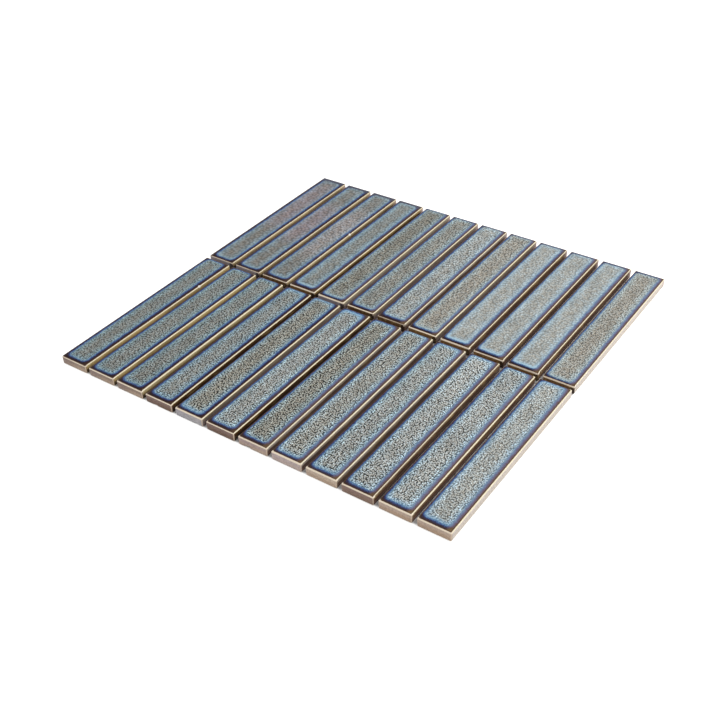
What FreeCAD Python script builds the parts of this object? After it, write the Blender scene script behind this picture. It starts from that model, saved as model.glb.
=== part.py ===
import FreeCAD, Part

import os

import Sketcher

# Mosaic sheet of finger tiles: two rows of twelve glazed sticks, held at their joints by a laid mesh.
# Millimetres. X runs across the columns, Y along the tiles, Z up out of the glazed faces.
# The origin is the middle of the sheet, on the underside of the mesh.

PARTS_FOLDER = "parts"
MESH_BANDS = ("backing_mesh_left", "backing_mesh_middle", "backing_mesh_right")
ROW_NAMES = ("front", "back")
FACE_PLANE = 0.0
PLANE_TOLERANCE = 1e-6

# Driving sizes, in millimetres, and the draft in degrees
SIZES = {
    "tile_columns": 12,
    "tile_width": 22.0,
    "tile_length": 145.0,
    "tile_thickness": 6.0,
    "joint_width": 3.0,
    "corner_cut": 0.8,
    "arris_radius": 0.7,
    "side_draft": 1.5,
    "foot_chamfer": 0.3,
    "groove_count": 3,
    "groove_width": 2.4,
    "groove_pitch": 6.0,
    "groove_depth": 0.4,
    "groove_end_margin": 8.0,
    "mesh_margin": 3.0,
    "strand_pitch": 12.5,
    "strand_width": 1.0,
    "strand_thickness": 0.25,
}

# Lengths and counts that several pieces share, worked out from the sizes
COLUMN_PITCH = "(sizes.tile_width + sizes.joint_width)"
ROW_PITCH = "(sizes.tile_length + sizes.joint_width)"
MESH_WIDTH = f"(sizes.tile_columns * {COLUMN_PITCH} - sizes.joint_width - 2 * sizes.mesh_margin)"
MESH_LENGTH = f"({len(ROW_NAMES)} * {ROW_PITCH} - sizes.joint_width - 2 * sizes.mesh_margin)"
MESH_HEIGHT = "(2 * sizes.strand_thickness)"
WARP_COUNT = f"(floor(({MESH_WIDTH} - sizes.strand_width) / sizes.strand_pitch) + 1)"
WEFT_COUNT = f"(floor(({MESH_LENGTH} - sizes.strand_width) / sizes.strand_pitch) + 1)"

doc = FreeCAD.newDocument("mosaic_tile_sheet")


def make_sheet():
    """Puts the driving sizes into the document's spreadsheet, one alias to a row."""
    sheet = doc.addObject("Spreadsheet::Sheet", "sizes")
    for row, (alias, size) in enumerate(SIZES.items(), start=1):
        sheet.set(f"A{row}", alias)
        sheet.set(f"B{row}", str(size))
        sheet.setAlias(f"B{row}", alias)
    doc.recompute()
    return sheet


def value(expression):
    """The number that an expression of the sheet's sizes has now."""
    result = sizes.evalExpression(expression)
    return float(getattr(result, "Value", result))


def sketch_on_plane(body, name, height):
    """A sketch on the body's own XY plane, raised to the height that an expression gives."""
    plane = next(f for f in body.Origin.OriginFeatures if f.Role == "XY_Plane")
    sketch = body.newObject("Sketcher::SketchObject", name)
    sketch.AttachmentSupport = (plane, [""])
    sketch.MapMode = "FlatFace"
    sketch.setExpression("AttachmentOffset.Base.z", height)
    return sketch


def name_dimension(sketch, constraint, name, expression):
    """Adds a dimension to a sketch and binds it to the sheet."""
    index = sketch.addConstraint(constraint)
    sketch.renameConstraint(index, name)
    sketch.setExpression(f"Constraints.{name}", expression)


def draw_rectangle(sketch, width, length):
    """A rectangle about the sketch's origin, from the expressions of its width and length."""
    half_x = value(width) / 2
    half_y = value(length) / 2
    corners = [(-half_x, -half_y), (half_x, -half_y), (half_x, half_y), (-half_x, half_y)]
    points = [FreeCAD.Vector(x, y, 0) for x, y in corners]
    for start, end in zip(points, points[1:] + points[:1]):
        sketch.addGeometry(Part.LineSegment(start, end))
    for side in range(4):
        sketch.addConstraint(Sketcher.Constraint("Coincident", side, 2, (side + 1) % 4, 1))
        direction = "Vertical" if side % 2 else "Horizontal"
        sketch.addConstraint(Sketcher.Constraint(direction, side))
    sketch.addConstraint(Sketcher.Constraint("Symmetric", 0, 1, 2, 1, -1, 1))
    name_dimension(sketch, Sketcher.Constraint("DistanceX", 0, 1, 0, 2, 2 * half_x), "width", width)
    name_dimension(sketch, Sketcher.Constraint("DistanceY", 1, 1, 1, 2, 2 * half_y), "length", length)


def names_between(kind, elements, low, high):
    """The numbered names of the elements whose corners reach from one height of their body to another."""
    names = []
    for number, element in enumerate(elements, start=1):
        heights = [vertex.Z for vertex in element.Vertexes]
        if abs(min(heights) - low) < PLANE_TOLERANCE and abs(max(heights) - high) < PLANE_TOLERANCE:
            names.append(f"{kind}{number}")
    return names


def edges_between(feature, low, high):
    """The names of a feature's edges from one height to another, or flat at one height."""
    return names_between("Edge", feature.Shape.Edges, low, high)


def faces_between(feature, low, high):
    """The names of a feature's faces from one height to another, or flat at one height."""
    return names_between("Face", feature.Shape.Faces, low, high)


def add_pad(body, sketch, name, length):
    """Pads a sketch upwards by the length that an expression gives."""
    pad = body.newObject("PartDesign::Pad", name)
    pad.Profile = sketch
    pad.setExpression("Length", length)
    sketch.Visibility = False
    return pad


def add_pattern(body, feature, name, axis, spacing, count):
    """Repeats a feature along one of its body's axes, with expressions for the spacing and the count."""
    doc.recompute()
    line = next(f for f in body.Origin.OriginFeatures if f.Role == axis)
    pattern = body.newObject("PartDesign::LinearPattern", name)
    pattern.Originals = [feature]
    pattern.Direction = (line, [""])
    pattern.Mode = "Spacing"
    pattern.setExpression("Offset", spacing)
    pattern.setExpression("Occurrences", count)
    body.Tip = pattern
    return pattern


def make_tile(name, column, row):
    """One pressed tile: drafted sides, cut corners, rounded arris, softened foot and grooves in its back.

    The body's own origin is the middle of the glazed face, and the clay is below it.
    """
    body = doc.addObject("PartDesign::Body", name)
    body.Label = name
    back_plane = -value("sizes.tile_thickness")
    outline = sketch_on_plane(body, name + "_outline", str(FACE_PLANE))
    draw_rectangle(outline, "sizes.tile_width", "sizes.tile_length")
    slab = add_pad(body, outline, name + "_slab", "sizes.tile_thickness")
    slab.Reversed = True
    doc.recompute()

    corners = body.newObject("PartDesign::Chamfer", name + "_corners")
    corners.Base = (slab, edges_between(slab, back_plane, FACE_PLANE))
    corners.setExpression("Size", "sizes.corner_cut")
    doc.recompute()

    draft = body.newObject("PartDesign::Draft", name + "_draft")
    draft.Base = (corners, faces_between(corners, back_plane, FACE_PLANE))
    draft.NeutralPlane = (corners, faces_between(corners, FACE_PLANE, FACE_PLANE))
    draft.Reversed = True
    draft.setExpression("Angle", "sizes.side_draft")
    doc.recompute()

    arris = body.newObject("PartDesign::Fillet", name + "_arris")
    arris.Base = (draft, edges_between(draft, FACE_PLANE, FACE_PLANE))
    arris.setExpression("Radius", "sizes.arris_radius")
    doc.recompute()

    foot = body.newObject("PartDesign::Chamfer", name + "_foot")
    foot.Base = (arris, edges_between(arris, back_plane, back_plane))
    foot.setExpression("Size", "sizes.foot_chamfer")

    groove_outline = sketch_on_plane(body, name + "_groove_outline", "-sizes.tile_thickness")
    groove_length = "(sizes.tile_length - 2 * sizes.groove_end_margin)"
    draw_rectangle(groove_outline, "sizes.groove_width", groove_length)
    first_groove = "-(sizes.groove_count - 1) / 2 * sizes.groove_pitch"
    groove_outline.setExpression("AttachmentOffset.Base.x", first_groove)
    groove = body.newObject("PartDesign::Pocket", name + "_groove")
    groove.Profile = groove_outline
    groove.Reversed = True
    groove.setExpression("Length", "sizes.groove_depth")
    groove_outline.Visibility = False
    add_pattern(body, groove, name + "_grooves", "X_Axis", "sizes.groove_pitch", "sizes.groove_count")

    column_offset = f"({column} - (sizes.tile_columns - 1) / 2)"
    row_offset = f"({row} - {(len(ROW_NAMES) - 1) / 2})"
    body.setExpression("Placement.Base.x", f"{column_offset} * {COLUMN_PITCH}")
    body.setExpression("Placement.Base.y", f"{row_offset} * {ROW_PITCH}")
    body.setExpression("Placement.Base.z", f"{MESH_HEIGHT} + sizes.tile_thickness")
    return body


def make_mesh_band(name, first, count, is_last):
    """A band of the laid mesh: its warps lie along Y, with the wefts across them, bonded where they cross.

    The band has `count` of the mesh's warps, from number `first` on. Neighbouring bands meet halfway
    between two warps, and at the sides of the mesh the wefts run on to its cut edge.
    """
    body = doc.addObject("PartDesign::Body", name)
    body.Label = name
    first_warp = f"({first} - ({WARP_COUNT} - 1) / 2) * sizes.strand_pitch"
    last_warp = f"({first + count - 1} - ({WARP_COUNT} - 1) / 2) * sizes.strand_pitch"
    left_end = f"(-{MESH_WIDTH} / 2)" if first == 0 else f"({first_warp} - sizes.strand_pitch / 2)"
    right_end = f"({MESH_WIDTH} / 2)" if is_last else f"({last_warp} + sizes.strand_pitch / 2)"

    warp_outline = sketch_on_plane(body, name + "_warp_outline", "0")
    draw_rectangle(warp_outline, "sizes.strand_width", MESH_LENGTH)
    warp_outline.setExpression("AttachmentOffset.Base.x", first_warp)
    warp = add_pad(body, warp_outline, name + "_warp", "sizes.strand_thickness")

    weft_outline = sketch_on_plane(body, name + "_weft_outline", "sizes.strand_thickness")
    draw_rectangle(weft_outline, f"({right_end} - {left_end})", "sizes.strand_width")
    weft_outline.setExpression("AttachmentOffset.Base.x", f"({left_end} + {right_end}) / 2")
    weft_outline.setExpression("AttachmentOffset.Base.y", f"-({WEFT_COUNT} - 1) / 2 * sizes.strand_pitch")
    weft = add_pad(body, weft_outline, name + "_weft", "sizes.strand_thickness")

    add_pattern(body, warp, name + "_warps", "X_Axis", "sizes.strand_pitch", str(count))
    add_pattern(body, weft, name + "_wefts", "Y_Axis", "sizes.strand_pitch", WEFT_COUNT)
    return body


def make_mesh():
    """The backing mesh, cut into bands of whole warps so that no one body carries every crossing."""
    warps = round(value(WARP_COUNT))
    edges = [round(warps * band / len(MESH_BANDS)) for band in range(len(MESH_BANDS) + 1)]
    bands = []
    for name, first, end in zip(MESH_BANDS, edges, edges[1:]):
        bands.append(make_mesh_band(name, first, end - first, end == warps))
    return bands


def make_tiles():
    """The tiles of both rows, numbered from the left."""
    tiles = []
    for row, row_name in enumerate(ROW_NAMES):
        for column in range(int(value("sizes.tile_columns"))):
            tiles.append(make_tile(f"tile_{row_name}_{column + 1:02d}", column, row))
    return tiles


def check(pieces):
    """Stops if an object of the document failed or a piece has no sound solid."""
    for item in doc.Objects:
        if "Invalid" in item.State or "Error" in item.State:
            raise RuntimeError(f"{item.Name} did not compute: {item.State}")
    for piece in pieces:
        shape = piece.Shape
        if shape.isNull() or not shape.isValid() or len(shape.Solids) != 1:
            raise RuntimeError(f"{piece.Label} is not one valid solid")


sizes = make_sheet()
pieces = make_tiles() + make_mesh()
doc.recompute()
check(pieces)
os.makedirs(PARTS_FOLDER, exist_ok=True)
for piece in pieces:
    piece.Shape.exportStep(os.path.join(PARTS_FOLDER, piece.Label + ".step"))
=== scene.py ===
"""Looks of a sheet of glazed finger tiles on a laid glass mesh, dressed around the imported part."""

import logging
import math
from dataclasses import dataclass, field
from enum import Enum

import bpy
from mathutils import Euler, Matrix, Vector, noise


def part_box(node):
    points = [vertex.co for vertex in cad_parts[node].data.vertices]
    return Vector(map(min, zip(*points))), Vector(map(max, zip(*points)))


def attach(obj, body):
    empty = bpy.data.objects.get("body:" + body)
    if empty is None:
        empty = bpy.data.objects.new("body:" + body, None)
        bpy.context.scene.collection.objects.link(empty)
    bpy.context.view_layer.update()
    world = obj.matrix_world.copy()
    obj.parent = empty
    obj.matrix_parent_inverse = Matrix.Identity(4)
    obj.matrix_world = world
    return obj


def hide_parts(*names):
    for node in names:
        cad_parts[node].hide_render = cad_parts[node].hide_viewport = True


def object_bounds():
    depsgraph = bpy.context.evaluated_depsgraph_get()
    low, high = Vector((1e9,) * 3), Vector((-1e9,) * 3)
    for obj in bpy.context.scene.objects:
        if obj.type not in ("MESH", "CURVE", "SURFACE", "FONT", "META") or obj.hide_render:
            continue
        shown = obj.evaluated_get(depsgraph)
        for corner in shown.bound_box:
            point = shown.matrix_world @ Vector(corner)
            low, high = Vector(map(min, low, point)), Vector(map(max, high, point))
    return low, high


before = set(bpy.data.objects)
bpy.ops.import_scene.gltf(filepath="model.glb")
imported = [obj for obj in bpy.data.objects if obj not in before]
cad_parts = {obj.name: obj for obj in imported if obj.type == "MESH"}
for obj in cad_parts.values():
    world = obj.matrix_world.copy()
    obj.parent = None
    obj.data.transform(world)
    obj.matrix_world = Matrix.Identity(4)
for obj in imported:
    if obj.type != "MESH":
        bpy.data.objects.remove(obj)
CAD_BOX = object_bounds()

MM = 0.001
LOG = logging.getLogger("mosaic_sheet")

Triple = tuple[float, float, float]
Colour = Triple
Pair = tuple[float, float]
Stops = tuple[tuple[float, Colour], ...]
Socket = bpy.types.NodeSocket
Value = float | Socket
Paint = Socket | Colour
Input = Value | Colour
Material = bpy.types.Material


def tint(red: float, green: float, blue: float) -> Colour:
    """Turns a colour as a screen shows it, 0 to 255 a channel, into scene light.

    Args:
        red: Red channel.
        green: Green channel.
        blue: Blue channel.

    Returns:
        The linear colour.
    """
    def linear(level: float) -> float:
        """One channel, by the screen's own curve."""
        level /= 255.0
        return level / 12.92 if level <= 0.04045 else ((level + 0.055) / 1.055) ** 2.4

    return (linear(red), linear(green), linear(blue))


def smooth_step(low: float, high: float, value: float) -> float:
    """Rises smoothly from 0 at low to 1 at high."""
    t = min(1.0, max(0.0, (value - low) / (high - low)))
    return t * t * (3.0 - 2.0 * t)


class Edge(Enum):
    """An edge of a tile: the axis across it, 0 for X and 1 for Y, and the side that it lies on."""

    LEFT = (0, -1.0)
    RIGHT = (0, 1.0)
    FRONT = (1, -1.0)
    BACK = (1, 1.0)


class Graph:
    """A material's node tree, written as sums over sockets."""

    mix_first = 6
    mix_second = 7
    mix_result = 2

    def __init__(self, name: str) -> None:
        """Starts a material with an output and one Principled shader.

        Args:
            name: The material's name.
        """
        self.made = bpy.data.materials.new(name)
        self.made.use_nodes = True
        self.tree = self.made.node_tree
        self.tree.nodes.clear()
        self.shader = self.node("BsdfPrincipled")
        self.feed(self.node("OutputMaterial"), Surface=self.shader.outputs["BSDF"])

    def node(self, kind: str, *values: Input, **settings: str | bool) -> bpy.types.Node:
        """Adds a node.

        Args:
            kind: Its kind, without the words that every shader node's kind starts with.
            values: What its first inputs get, in order.
            settings: Its settings, by name.

        Returns:
            The node.
        """
        node = self.tree.nodes.new("ShaderNode" + kind)
        for name, setting in settings.items():
            setattr(node, name, setting)
        for socket, value in zip(node.inputs, values):
            self.set(socket, value)
        return node

    def feed(self, node: bpy.types.Node, **values: Input) -> bpy.types.Node:
        """Feeds a node's inputs by name.

        Args:
            node: The node.
            values: What each input gets.

        Returns:
            The same node.
        """
        for name, value in values.items():
            self.set(node.inputs[name], value)
        return node

    def set(self, socket: Socket, value: Input) -> None:
        """Links a socket, or writes a constant on it.

        Args:
            socket: The input to feed.
            value: A socket, a number or a colour.
        """
        if isinstance(value, bpy.types.NodeSocket):
            self.tree.links.new(value, socket)
        elif isinstance(value, tuple) and len(socket.default_value) == 4:
            socket.default_value = (*value, 1.0)
        else:
            socket.default_value = value

    def math(self, operation: str, *values: Value, clamp: bool = False) -> Socket:
        """One step of arithmetic, whose result is kept from 0 to 1 where clamp says so."""
        return self.node("Math", *values, operation=operation, use_clamp=clamp).outputs[0]

    def add(self, first: Value, second: Value) -> Socket:
        """Adds two numbers."""
        return self.math("ADD", first, second)

    def times(self, first: Value, second: Value) -> Socket:
        """Multiplies two numbers."""
        return self.math("MULTIPLY", first, second)

    def most(self, first: Value, second: Value) -> Socket:
        """The larger of two numbers."""
        return self.math("MAXIMUM", first, second)

    def line(self, value: Value, slope: Value, start: Value) -> Socket:
        """A number times a slope, from a start."""
        return self.math("MULTIPLY_ADD", value, slope, start)

    def vector(self, operation: str, *values: Socket | Triple) -> Socket:
        """One step of vector arithmetic, which gives a number for a length and a vector for the rest."""
        node = self.node("VectorMath", *values, operation=operation)
        return node.outputs["Value" if operation == "LENGTH" else "Vector"]

    def stretch(self, vector: Socket, x: float, y: float, z: float) -> Socket:
        """Multiplies each part of a vector by its own number."""
        return self.vector("MULTIPLY", vector, (x, y, z))

    def split(self, vector: Socket) -> tuple[Socket, Socket, Socket]:
        """The three parts of a vector."""
        return tuple(self.node("SeparateXYZ", vector).outputs)

    def join(self, x: Value, y: Value, z: Value = 0.0) -> Socket:
        """A vector from its three parts."""
        return self.node("CombineXYZ", x, y, z).outputs[0]

    def millimetres(self, origin: Triple = (0.0, 0.0, 0.0)) -> Socket:
        """The place on the object in millimetres, from an origin given in metres."""
        place = self.vector("SUBTRACT", self.node("TexCoord").outputs["Object"], origin)
        return self.stretch(place, 1.0 / MM, 1.0 / MM, 1.0 / MM)

    def rise(self, value: Socket, low: float, high: float, start: float = 0.0, end: float = 1.0) -> Socket:
        """Goes smoothly from start to end as the value goes from low to high, and holds beyond them."""
        node = self.node("MapRange", value, low, high, start, end, interpolation_type="SMOOTHSTEP")
        return node.outputs[0]

    def mix(self, factor: Value, first: Paint, second: Paint, blend: str = "MIX") -> Socket:
        """Mixes two colours.

        Args:
            factor: Share of the second.
            first: Colour at 0.
            second: Colour at 1.
            blend: The Mix node's blend type.

        Returns:
            The mixed colour.
        """
        node = self.node("Mix", factor, data_type="RGBA", blend_type=blend)
        self.set(node.inputs[self.mix_first], first)
        self.set(node.inputs[self.mix_second], second)
        return node.outputs[self.mix_result]

    def shaded(self, colour: Paint, shade: Socket) -> Socket:
        """A colour times one number."""
        return self.mix(1.0, colour, self.join(shade, shade, shade), "MULTIPLY")

    def ramp(self, value: Socket, stops: Stops) -> Socket:
        """Reads a colour off a ramp whose stops are given in the value's own units.

        Args:
            value: The number to read at.
            stops: Pairs of number and colour, lowest first.

        Returns:
            The colour.
        """
        low, high = stops[0][0], stops[-1][0]
        share = self.math("DIVIDE", self.math("SUBTRACT", value, low), high - low)
        node = self.node("ValToRGB", share)
        elements = node.color_ramp.elements
        while len(elements) < len(stops):
            elements.new(0.5)
        for element, (place, colour) in zip(elements, stops):
            element.position = (place - low) / (high - low)
            element.color = (*colour, 1.0)
        return node.outputs[0]

    def noise(self, vector: Socket, scale: float, detail: float = 2.0, roughness: float = 0.5) -> Socket:
        """Cloudy noise about 0.5, with so many clouds to a unit of the vector."""
        node = self.feed(
            self.node("TexNoise"), Vector=vector, Scale=scale, Detail=detail, Roughness=roughness)
        return node.outputs[0]

    def cells(self, vector: Socket, scale: float) -> Socket:
        """A random number, 0 to 1, for each of the small irregular cells, so many to a unit of the vector."""
        node = self.feed(self.node("TexVoronoi"), Vector=vector, Scale=scale)
        return self.split(node.outputs["Color"])[0]

    def dots(self, vector: Socket, scale: float) -> tuple[Socket, Socket]:
        """Distance to the nearest crystal on a flat face, as a share of their spacing, and its own number."""
        node = self.feed(self.node("TexVoronoi", voronoi_dimensions="2D"), Vector=vector, Scale=scale)
        return node.outputs["Distance"], self.split(node.outputs["Color"])[0]

    def bump(self, height: Socket, depth: float) -> None:
        """Gives the shader a relief, where a height of 1 stands for the depth in metres."""
        node = self.feed(self.node("Bump"), Distance=depth, Height=height)
        self.set(self.shader.inputs["Normal"], node.outputs[0])

    def finish(self, colour: Socket, roughness: Value, specular: float) -> Material:
        """Closes the shader and gives the material."""
        self.feed(self.shader, **{
            "Base Color": colour, "Roughness": roughness, "Specular IOR Level": specular})
        return self.made


class TileGraph(Graph):
    """The node tree of one tile's glaze, in millimetres from the middle of the tile's top."""

    def __init__(self, name: str, low: Vector, high: Vector, shift: Triple) -> None:
        """Works out the places that all the layers of the glaze read.

        Args:
            name: The material's name.
            low: Lowest corner of the tile's box, in metres.
            high: Its highest corner.
            shift: Takes this tile to its own part of the noise.
        """
        super().__init__(name)
        middle = (low + high) / 2.0
        self.half = (high - low) / 2.0 / MM
        self.place = self.millimetres((middle.x, middle.y, high.z))
        self.spot = self.vector("ADD", self.place, shift)
        self.x, self.y, self.height = self.split(self.place)

    def near(self, edge: Edge, far: float, close: float, strength: float = 1.0, rest: float = 0.0) -> Socket:
        """Rises smoothly towards one edge of the tile.

        Args:
            edge: The edge.
            far: Distance from it where the rise starts.
            close: Distance from it where the rise ends.
            strength: What it rises to.
            rest: What it rises from.

        Returns:
            The number at each place.
        """
        axis, side = edge.value
        place, reach = (self.x, self.y)[axis], self.half[axis]
        return self.rise(place, side * (reach - far), side * (reach - close), rest, strength)

    def outside(self, middle: Vector, half: Vector, radius: float) -> Socket:
        """Distance outwards from a rectangle with rounded corners.

        Args:
            middle: The rectangle's middle.
            half: Its half sizes.
            radius: The radius of its corners.

        Returns:
            The distance, negative inside.
        """
        offset = self.vector("ABSOLUTE", self.vector("SUBTRACT", self.place, (middle.x, middle.y, 0.0)))
        x, y, _ = self.split(self.vector("SUBTRACT", offset, (half.x - radius, half.y - radius, 0.0)))
        beyond = self.vector("LENGTH", self.join(self.most(x, 0.0), self.most(y, 0.0)))
        within = self.math("MINIMUM", self.most(x, y), 0.0)
        return self.math("SUBTRACT", self.add(beyond, within), radius)


@dataclass(frozen=True)
class Pool:
    """The crystal field in the middle of a tile, brown-grey inside and teal along its flanks."""

    middle: Colour
    flank: Colour


class Tone(Enum):
    """How the kiln left the crystal field."""

    SLATE = Pool(tint(131, 134, 130), tint(127, 148, 152))
    MIST = Pool(tint(130, 130, 126), tint(129, 148, 156))
    GREY = Pool(tint(137, 141, 138), tint(132, 154, 163))
    BROWN = Pool(tint(134, 133, 124), tint(135, 149, 150))
    STONE = Pool(tint(142, 142, 135), tint(144, 160, 163))
    FLINT = Pool(tint(147, 148, 142), tint(150, 165, 169))
    PALE = Pool(tint(151, 154, 151), tint(151, 169, 174))
    BRIGHT = Pool(tint(162, 165, 162), tint(160, 175, 180))
    CHALK = Pool(tint(169, 172, 168), tint(167, 182, 188))
    WARM = Pool(tint(157, 154, 145), tint(163, 172, 170))


@dataclass(frozen=True)
class Clay:
    """The thin glaze over a tile's side, and the clay that shows through it lower down."""

    upper: Colour
    lower: Colour
    streaks: float = 0.0
    glints: float = 0.0
    # Colour at the very foot of a flank: painted shade on some sides, a paler colour on others.
    foot: Colour | None = None
    # Share of painted shade that darkens and blues the front side towards its left.
    left_shade: float = 0.15


# Painted shade deep in the joints: at the foot of the flanks, and in the slit where the joints cross.
JOINT_SHADE = tint(48, 32, 22)
CHALKY = tint(140, 118, 114)
DUSTY = tint(122, 96, 86)


class Side(Enum):
    """How the sides of a tile came out."""

    GOLDEN = Clay(tint(220, 198, 142), tint(196, 169, 116), 0.35, 0.3, JOINT_SHADE)
    BRASS = Clay(tint(214, 195, 148), tint(172, 147, 100), 0.35, 0.3, JOINT_SHADE)
    STRAW = Clay(tint(216, 195, 150), tint(148, 126, 96), 0.35, 0.3, JOINT_SHADE)
    HONEY = Clay(tint(188, 158, 100), tint(66, 44, 24), 0.4, 0.3, JOINT_SHADE)
    AMBER = Clay(tint(89, 61, 22), tint(52, 26, 10), 0.4, 0.25, JOINT_SHADE)
    SMOKE = Clay(tint(153, 138, 114), tint(140, 126, 120), 0.3, 0.3, CHALKY)
    ASH = Clay(tint(178, 165, 138), tint(156, 148, 140), 0.25, 0.2, CHALKY)
    UMBER = Clay(tint(130, 104, 78), tint(90, 60, 44), 0.35, 0.35, DUSTY)
    DUSK = Clay(tint(176, 164, 152), tint(94, 70, 58), 0.3, 0.35, DUSTY)
    PALE = Clay(tint(224, 212, 204), tint(222, 210, 196))
    BEIGE = Clay(tint(160, 138, 122), tint(193, 169, 147), left_shade=0.6)
    TAUPE = Clay(tint(140, 114, 105), tint(126, 99, 82))
    FAWN = Clay(tint(153, 126, 115), tint(152, 125, 108))
    PEARL = Clay(tint(188, 182, 183), tint(192, 189, 191), left_shade=0.25)
    MAUVE = Clay(tint(194, 171, 164), tint(197, 173, 154))
    ROSE = Clay(tint(206, 188, 184), tint(210, 190, 180))
    SAND = Clay(tint(218, 196, 174), tint(205, 179, 155))
    CLAY = Clay(tint(211, 187, 168), tint(203, 174, 148))
    ASHEN = Clay(tint(165, 157, 165), tint(150, 140, 140))
    RUSSET = Clay(tint(111, 81, 47), tint(78, 48, 30), 0.0, 0.3)
    COPPER = Clay(tint(146, 110, 66), tint(104, 68, 40), 0.0, 0.3)


@dataclass(frozen=True)
class Rim:
    """The band where the glaze runs thin, from the azure edge of the field out to the arris.

    Distances are in millimetres outwards from the edge of the field.
    """

    deep: Stops = (
        (-0.6, tint(120, 154, 180)),
        (0.1, tint(97, 138, 179)),
        (0.7, tint(71, 97, 151)),
        (1.2, tint(49, 54, 102)),
        (1.8, tint(42, 32, 58)),
        (2.4, tint(48, 25, 32)),
        (3.0, tint(54, 28, 22)),
        (3.8, tint(86, 56, 40)),
    )
    # The rim's colours under the painted sheen: a reflection painted in, paler and greyer than the deep ones.
    deep_under_sheen: Stops = (
        (-0.6, tint(138, 160, 176)),
        (0.1, tint(134, 158, 182)),
        (0.7, tint(124, 138, 168)),
        (1.3, tint(116, 114, 142)),
        (1.9, tint(114, 98, 116)),
        (2.5, tint(109, 86, 78)),
        (3.1, tint(112, 88, 58)),
        (3.8, tint(124, 98, 70)),
    )
    azure: Colour = tint(176, 209, 228)
    azure_deep: Colour = tint(138, 188, 226)
    slate: Colour = tint(72, 76, 96)
    # Ivory of the arris to the right and in front: glaze broken thin, with a painted highlight.
    arris: Colour = tint(255, 243, 210)
    cream: Colour = tint(255, 238, 214)
    # The left and back arris: dark with painted shade, paler with the painted sheen of the rim.
    arris_painted_shade: Colour = tint(38, 40, 68)
    arris_sheen: Colour = tint(156, 132, 122)
    arris_back_sheen: Colour = tint(168, 150, 162)
    soot: Colour = tint(18, 10, 20)
    # Pale line down the front corners: glaze broken thin, with a painted highlight.
    corner: Colour = tint(242, 219, 193)
    gold: Colour = tint(200, 170, 112)
    # Painted light at the back end of the back row's flanks, where light comes in at the open end of the
    # joints.
    open_end_light: Colour = tint(204, 178, 170)
    fringe: Colour = tint(88, 58, 34)
    pit: Colour = tint(38, 24, 18)
    # White of a small highlight painted on the right arris.
    highlight_white: Colour = tint(255, 252, 240)


@dataclass(frozen=True)
class Inset:
    """How far the edge of the field lies inside each edge of its tile, in millimetres."""

    left: float
    right: float
    front: float
    back: float


@dataclass(frozen=True)
class Ivory:
    """The pale line over the arris, partly where the glaze broke and partly a painted highlight.

    It reaches in on the face and drops down the side, in millimetres, on the right and in front.
    """

    reach_right: float
    drop_right: float
    reach_front: float
    drop_front: float


@dataclass(frozen=True)
class Lustre:
    """A pale tint painted over part of a field as a reflection, between two distances from the tile's back
    edge in millimetres.
    """

    start: float
    end: float
    colour: Colour = tint(156, 137, 147)


@dataclass(frozen=True)
class Firing:
    """How one tile came out of the kiln.

    Grain is the contrast of the crystals and fineness their number to a millimetre. Rim sheen is a reflection
    painted as a haze over the right rim, glow the blue halo round the field in front and back_glow the same
    at the back, drift the brightening towards the back, and dull the greying of the back rim. The pinhole and
    the highlight spot, a highlight painted on the right arris, are places in millimetres from the middle of
    the tile.
    """

    tone: Tone
    side: Side
    end: Side
    inset: Inset
    ivory: Ivory
    grain: float
    fineness: float
    glow: float
    rim_sheen: float = 0.0
    back_glow: float = 0.0
    drift: float = 0.0
    dull: float = 0.0
    reflection: Lustre | None = None
    pinhole: tuple[float, float] | None = None
    highlight_spot: float | None = None


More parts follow.
